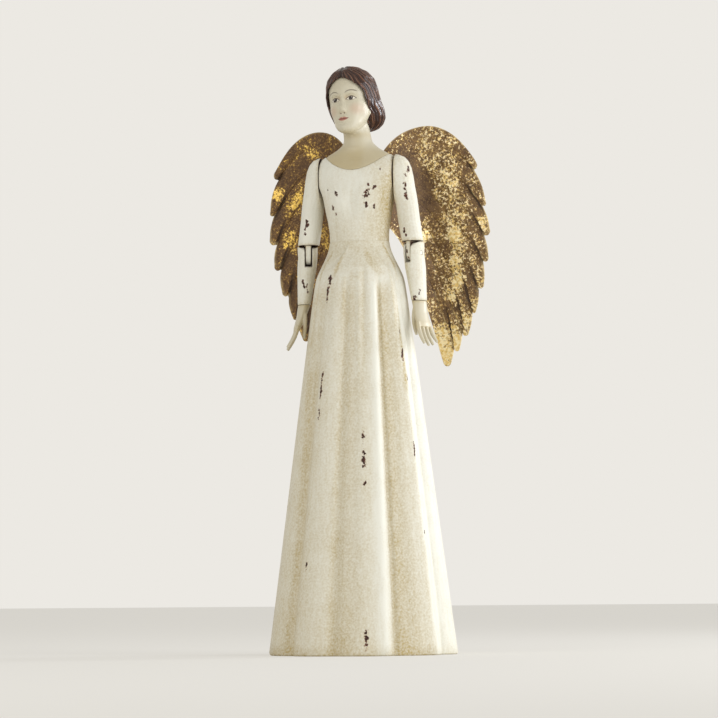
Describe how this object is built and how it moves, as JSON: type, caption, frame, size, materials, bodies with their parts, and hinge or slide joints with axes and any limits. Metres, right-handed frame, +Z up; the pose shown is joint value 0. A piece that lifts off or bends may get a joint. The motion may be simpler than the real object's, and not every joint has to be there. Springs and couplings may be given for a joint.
{
  "type": "angel tree topper",
  "caption": "Carved and painted angel figure with arms that swing and fold, pressed metal wings, and a flared hollow skirt with a sleeve inside for the top of a tree.",
  "frame": {"origin": "middle of the hem's underside, on the figure's upright axis", "axes": "+Z up through the figure; the figure faces -Y; +X is towards the figure's own left"},
  "size_m": [0.2148, 0.1644, 0.5325],
  "materials": {
    "gown": "cream paint with a tan wash in the folds, fine crackle and dark brown chips",
    "flesh": "smooth satin flesh-coloured paint",
    "hair": "glossy dark brown paint",
    "wing": "dark brown patina with broken flakes of gold leaf",
    "wood": "bare wood",
    "steel": "plain steel",
    "sleeve": "dull tinned sheet"
  },
  "bodies": {
    "figure": {"skirt": "gown", "waist_block": "wood", "tube_screw_1": "steel", "tube_screw_2": "steel", "tube_screw_3": "steel", "treetop_tube": "sleeve", "torso_stud": "steel", "stud_washer": "steel", "stud_nut": "steel", "torso": "gown", "neck_dowel": "wood", "head": "flesh", "hair": "hair", "wing_left": "wing", "wing_right": "wing", "wing_screw_left_upper": "steel", "wing_screw_left_lower": "steel", "wing_screw_right_upper": "steel", "wing_screw_right_lower": "steel"},
    "left_upper_arm": {"upper_arm_left": "gown", "shoulder_peg_left": "wood"},
    "left_forearm": {"forearm_left": "gown", "elbow_pin_left": "wood", "wrist_dowel_left": "wood", "hand_left": "flesh"},
    "right_upper_arm": {"upper_arm_right": "gown", "shoulder_peg_right": "wood"},
    "right_forearm": {"forearm_right": "gown", "elbow_pin_right": "wood", "wrist_dowel_right": "wood", "hand_right": "flesh"}
  },
  "joints": [
    {"name": "left_shoulder", "type": "hinge", "parent": "figure", "child": "left_upper_arm", "pos_m": [0.035, 0, 0.43], "axis": [-1, 0, 0], "range_deg": [-10, 170]},
    {"name": "left_elbow", "type": "hinge", "parent": "left_upper_arm", "child": "left_forearm", "pos_m": [0.0507, 0.0025, 0.3602], "axis": [-0.9205, 0.3907, 0], "range_deg": [0, 90]},
    {"name": "right_shoulder", "type": "hinge", "parent": "figure", "child": "right_upper_arm", "pos_m": [-0.035, 0, 0.43], "axis": [-1, 0, 0], "range_deg": [-10, 170]},
    {"name": "right_elbow", "type": "hinge", "parent": "right_upper_arm", "child": "right_forearm", "pos_m": [-0.0507, 0.0025, 0.3602], "axis": [-0.9205, -0.3907, 0], "range_deg": [0, 90]}
  ]
}
